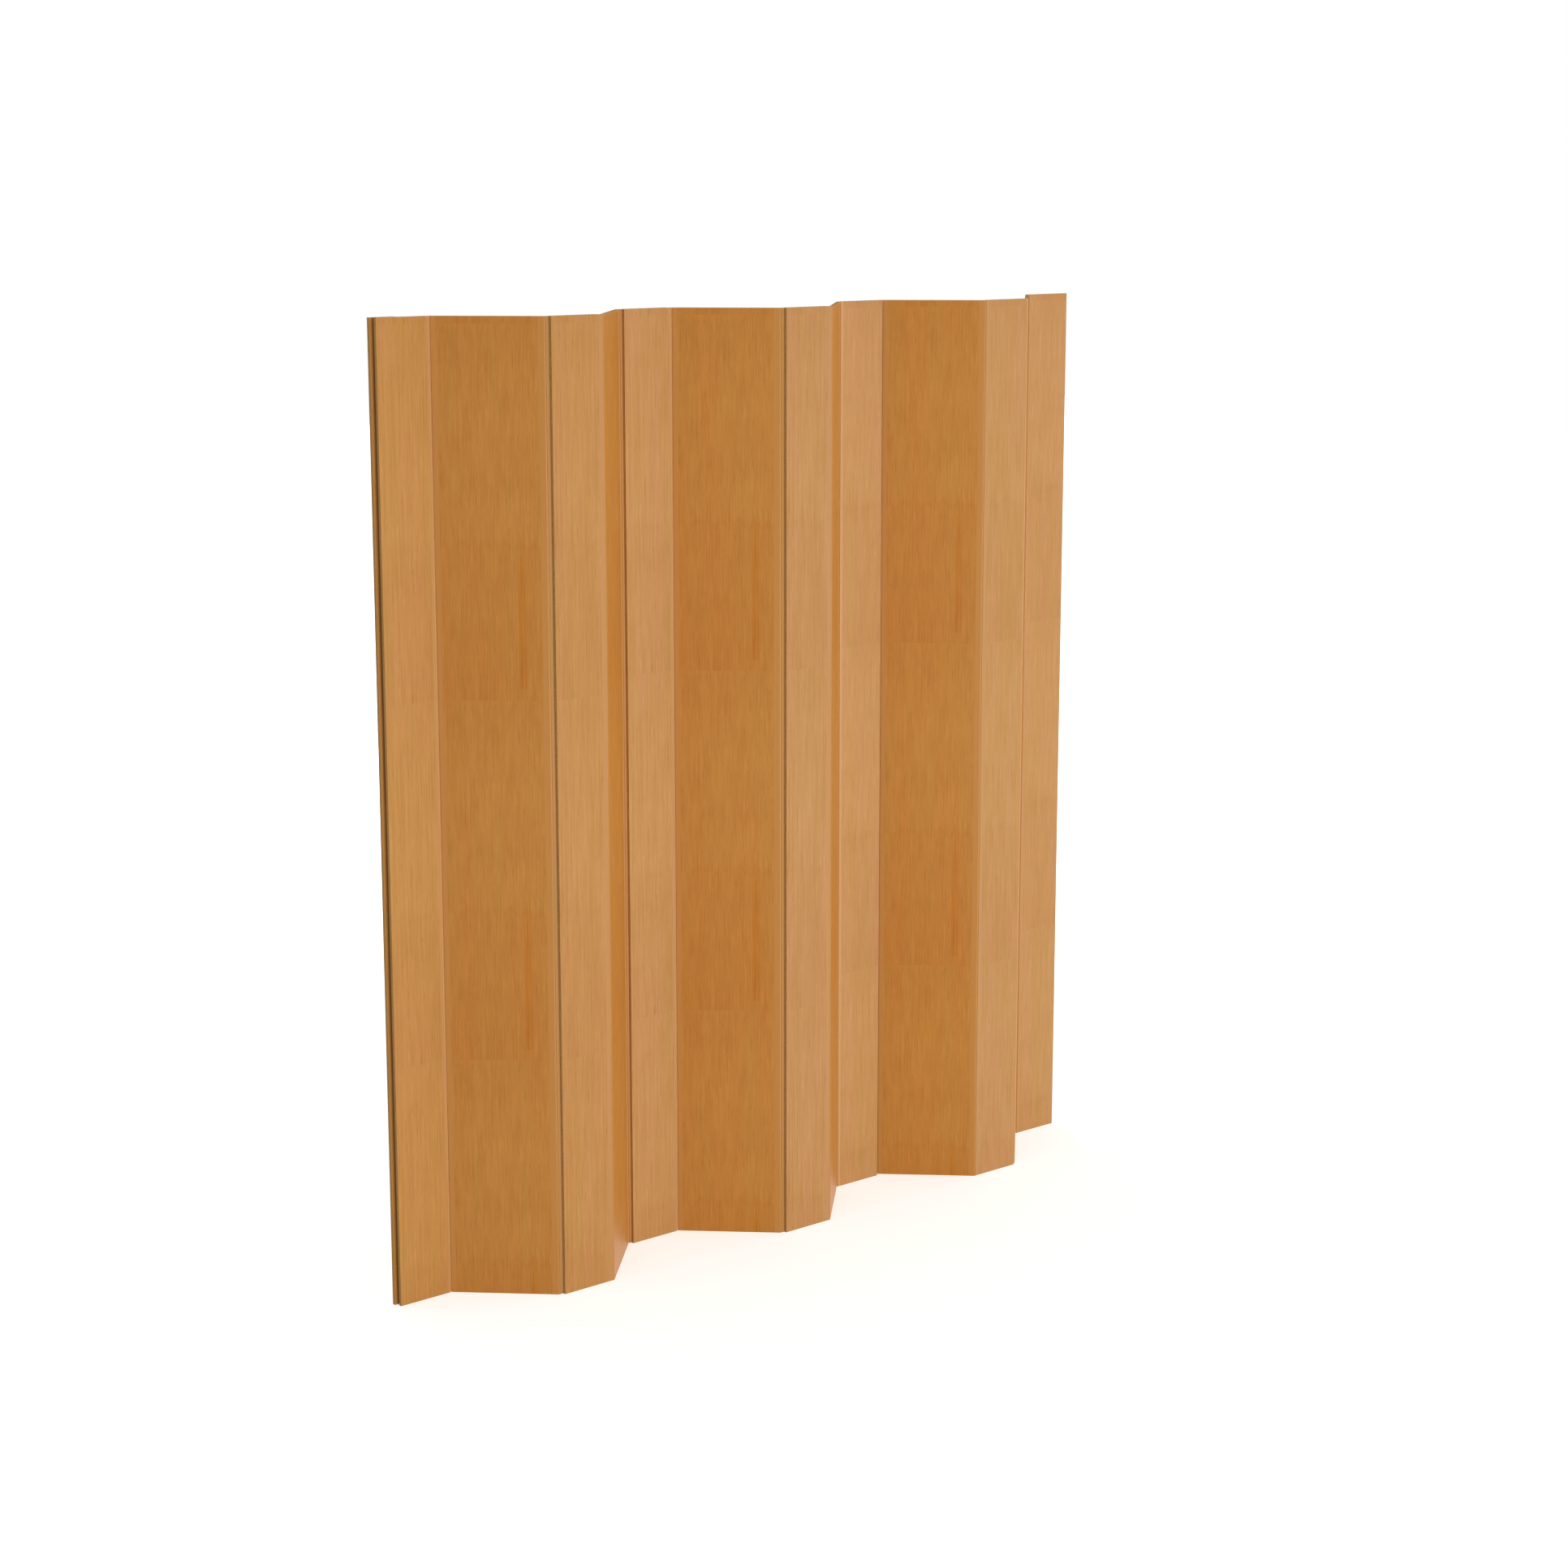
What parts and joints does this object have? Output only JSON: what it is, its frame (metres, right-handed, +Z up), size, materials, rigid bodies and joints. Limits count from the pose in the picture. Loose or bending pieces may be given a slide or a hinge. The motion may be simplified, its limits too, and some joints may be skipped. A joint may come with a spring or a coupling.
{
  "type": "accordion folding partition",
  "caption": "Tall free-standing room partition of thin wood-faced boards, folded zigzag in plan on full-height hinges, that closes up like an accordion.",
  "frame": {"origin": "middle of the bounding box on the floor", "axes": "+Z up, +X along the run of the partition from its closing strip, -Y the seen side"},
  "size_m": [1.9892, 0.2102, 2.1],
  "materials": {
    "wood_faced_board": "satin wood-grain facing with fine upright streaks on a khaki board core",
    "bead_rail": "wood-toned moulded rail, satin",
    "socket_rail": "wood-toned moulded rail, satin",
    "spacer_board": "raw board",
    "screw_steel": "plated"
  },
  "bodies": {
    "flange_1": {"lead_flange_1": "wood_faced_board", "lead_bead_rail_1": "bead_rail", "closing_strip": "wood_faced_board", "strip_spacer": "spacer_board", "strip_screws": "screw_steel"},
    "web_1": {"web_panel_1": "wood_faced_board", "lead_socket_rail_1": "socket_rail", "tail_socket_rail_1": "socket_rail"},
    "flange_2": {"tail_flange_1": "wood_faced_board", "tail_bead_rail_1": "bead_rail", "lead_flange_2": "wood_faced_board", "lead_bead_rail_2": "bead_rail", "lap_screws_2": "screw_steel"},
    "web_2": {"web_panel_2": "wood_faced_board", "lead_socket_rail_2": "socket_rail", "tail_socket_rail_2": "socket_rail"},
    "flange_3": {"tail_flange_2": "wood_faced_board", "tail_bead_rail_2": "bead_rail", "lead_flange_3": "wood_faced_board", "lead_bead_rail_3": "bead_rail", "lap_screws_3": "screw_steel"},
    "web_3": {"web_panel_3": "wood_faced_board", "lead_socket_rail_3": "socket_rail", "tail_socket_rail_3": "socket_rail"},
    "flange_4": {"tail_flange_3": "wood_faced_board", "tail_bead_rail_3": "bead_rail", "lead_flange_4": "wood_faced_board", "lead_bead_rail_4": "bead_rail", "lap_screws_4": "screw_steel"},
    "web_4": {"web_panel_4": "wood_faced_board", "lead_socket_rail_4": "socket_rail", "tail_socket_rail_4": "socket_rail"},
    "flange_5": {"tail_flange_4": "wood_faced_board", "tail_bead_rail_4": "bead_rail", "lead_flange_5": "wood_faced_board", "lead_bead_rail_5": "bead_rail", "lap_screws_5": "screw_steel"},
    "web_5": {"web_panel_5": "wood_faced_board", "lead_socket_rail_5": "socket_rail", "tail_socket_rail_5": "socket_rail"},
    "flange_6": {"tail_flange_5": "wood_faced_board", "tail_bead_rail_5": "bead_rail", "lead_flange_6": "wood_faced_board", "lead_bead_rail_6": "bead_rail", "lap_screws_6": "screw_steel"},
    "web_6": {"web_panel_6": "wood_faced_board", "lead_socket_rail_6": "socket_rail", "tail_socket_rail_6": "socket_rail"},
    "flange_7": {"tail_flange_6": "wood_faced_board", "tail_bead_rail_6": "bead_rail"}
  },
  "joints": [
    {"name": "lead_hinge_1", "type": "hinge", "parent": "flange_1", "child": "web_1", "pos_m": [-0.85609, 0.08586, 0], "axis": [0, 0, -1], "range_deg": [0, 60]},
    {"name": "tail_hinge_1", "type": "hinge", "parent": "web_1", "child": "flange_2", "pos_m": [-0.68848, -0.07886, 0], "axis": [0, 0, 1], "range_deg": [0, 60]},
    {"name": "lead_hinge_2", "type": "hinge", "parent": "flange_2", "child": "web_2", "pos_m": [-0.54598, -0.08636, 0], "axis": [0, 0, 1], "range_deg": [0, 60]},
    {"name": "tail_hinge_2", "type": "hinge", "parent": "web_2", "child": "flange_3", "pos_m": [-0.37836, 0.07836, 0], "axis": [0, 0, -1], "range_deg": [0, 60]},
    {"name": "lead_hinge_3", "type": "hinge", "parent": "flange_3", "child": "web_3", "pos_m": [-0.23586, 0.07086, 0], "axis": [0, 0, -1], "range_deg": [0, 60]},
    {"name": "tail_hinge_3", "type": "hinge", "parent": "web_3", "child": "flange_4", "pos_m": [-0.06825, -0.09386, 0], "axis": [0, 0, 1], "range_deg": [0, 60]},
    {"name": "lead_hinge_4", "type": "hinge", "parent": "flange_4", "child": "web_4", "pos_m": [0.07425, -0.10136, 0], "axis": [0, 0, 1], "range_deg": [0, 60]},
    {"name": "tail_hinge_4", "type": "hinge", "parent": "web_4", "child": "flange_5", "pos_m": [0.24186, 0.06336, 0], "axis": [0, 0, -1], "range_deg": [0, 60]},
    {"name": "lead_hinge_5", "type": "hinge", "parent": "flange_5", "child": "web_5", "pos_m": [0.38436, 0.07086, 0], "axis": [0, 0, -1], "range_deg": [0, 60]},
    {"name": "tail_hinge_5", "type": "hinge", "parent": "web_5", "child": "flange_6", "pos_m": [0.55198, -0.09386, 0], "axis": [0, 0, 1], "range_deg": [0, 60]},
    {"name": "lead_hinge_6", "type": "hinge", "parent": "flange_6", "child": "web_6", "pos_m": [0.69448, -0.08636, 0], "axis": [0, 0, 1], "range_deg": [0, 60]},
    {"name": "tail_hinge_6", "type": "hinge", "parent": "web_6", "child": "flange_7", "pos_m": [0.86209, 0.07836, 0], "axis": [0, 0, -1], "range_deg": [0, 60]}
  ],
  "couplings": [
    {"joint": "tail_hinge_1", "follows": "lead_hinge_1", "ratio": 1},
    {"joint": "lead_hinge_2", "follows": "lead_hinge_1", "ratio": 1},
    {"joint": "tail_hinge_2", "follows": "lead_hinge_1", "ratio": 1},
    {"joint": "lead_hinge_3", "follows": "lead_hinge_1", "ratio": 1},
    {"joint": "tail_hinge_3", "follows": "lead_hinge_1", "ratio": 1},
    {"joint": "lead_hinge_4", "follows": "lead_hinge_1", "ratio": 1},
    {"joint": "tail_hinge_4", "follows": "lead_hinge_1", "ratio": 1},
    {"joint": "lead_hinge_5", "follows": "lead_hinge_1", "ratio": 1},
    {"joint": "tail_hinge_5", "follows": "lead_hinge_1", "ratio": 1},
    {"joint": "lead_hinge_6", "follows": "lead_hinge_1", "ratio": 1},
    {"joint": "tail_hinge_6", "follows": "lead_hinge_1", "ratio": 1}
  ]
}
